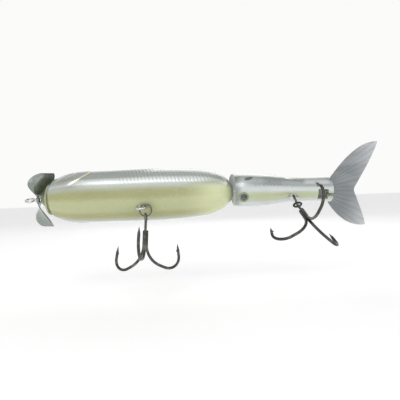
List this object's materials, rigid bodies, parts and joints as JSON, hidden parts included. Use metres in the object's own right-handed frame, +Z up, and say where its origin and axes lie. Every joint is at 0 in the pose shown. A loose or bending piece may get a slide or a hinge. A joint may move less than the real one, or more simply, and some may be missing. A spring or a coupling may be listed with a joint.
{
  "type": "jointed topwater bait",
  "caption": "Two-section jointed surface fishing lure with a spinning nose blade, hinged tail section, hanging treble hooks and a soft tail fin.",
  "frame": {"origin": "centre of the line-tie loop at the nose", "axes": "+X from the nose to the tail, +Z up; the belly faces -Y and 23 degrees down"},
  "size_m": [0.1735, 0.0515, 0.0559],
  "materials": {
    "smoke_shell": "clear-tinted glossy moulding, olive belly and silver flank",
    "foil": "embossed silver film",
    "bright_wire": "polished stainless wire",
    "blade_metal": "dark polished sheet",
    "black_nickel": "black nickel plated steel",
    "ballast": "dull metal",
    "clear_tube": "clear plastic",
    "ball_steel": "polished balls",
    "soft_fin": "smoke grey translucent soft plastic"
  },
  "bodies": {
    "front_body": {"front_shell_left": "smoke_shell", "front_shell_right": "smoke_shell", "nose_cone": "smoke_shell", "front_foil_left": "foil", "front_foil_right": "foil", "line_tie_wire": "bright_wire", "blade_bead_front": "bright_wire", "blade_bead_rear": "bright_wire", "front_hanger": "bright_wire", "joint_eye": "bright_wire", "rattle_tube": "clear_tube", "tube_plugs": "clear_tube", "keel_weight_front": "ballast", "keel_weight_rear": "ballast"},
    "blade": {"nose_blade": "blade_metal"},
    "balls": {"rattle_balls": "ball_steel"},
    "ring_front": {"split_ring_front": "black_nickel"},
    "hook_front": {"treble_front": "black_nickel"},
    "rear_body": {"rear_shell_left": "smoke_shell", "rear_shell_right": "smoke_shell", "rear_foil_left": "foil", "rear_foil_right": "foil", "rear_hanger": "bright_wire", "hinge_pin": "black_nickel", "rear_weight": "ballast", "tail_fin": "soft_fin"},
    "ring_rear": {"split_ring_rear": "black_nickel"},
    "hook_rear": {"treble_rear": "black_nickel"}
  },
  "joints": [
    {"name": "blade_spin", "type": "hinge", "parent": "front_body", "child": "blade", "pos_m": [0, 0, 0], "axis": [1, 0, 0], "continuous": true},
    {"name": "balls_slide", "type": "slide", "parent": "front_body", "child": "balls", "axis": [1, 0, 0], "range_m": [-0.011, 0.0136]},
    {"name": "ring_front_swing", "type": "hinge", "parent": "front_body", "child": "ring_front", "pos_m": [0.0589, -0.01233, -0.00524], "axis": [0, 1, 0], "range_deg": [-25, 25]},
    {"name": "hook_front_swing", "type": "hinge", "parent": "ring_front", "child": "hook_front", "pos_m": [0.0589, -0.01233, -0.00963], "axis": [1, 0, 0], "range_deg": [-15, 30]},
    {"name": "tail_swing", "type": "hinge", "parent": "front_body", "child": "rear_body", "pos_m": [0.1053, 0, 0], "axis": [0, 0.9205, 0.3907], "range_deg": [-22.3, 17.7]},
    {"name": "ring_rear_swing", "type": "hinge", "parent": "rear_body", "child": "ring_rear", "pos_m": [0.12938, -0.00688, -0.00397], "axis": [0.9992, 0.0157, -0.0369], "range_deg": [-15, 25]},
    {"name": "hook_rear_swing", "type": "hinge", "parent": "ring_rear", "child": "hook_rear", "pos_m": [0.12948, -0.01026, -0.00677], "axis": [-0.4279, -0.5839, 0.6899], "range_deg": [-30, 20]}
  ]
}
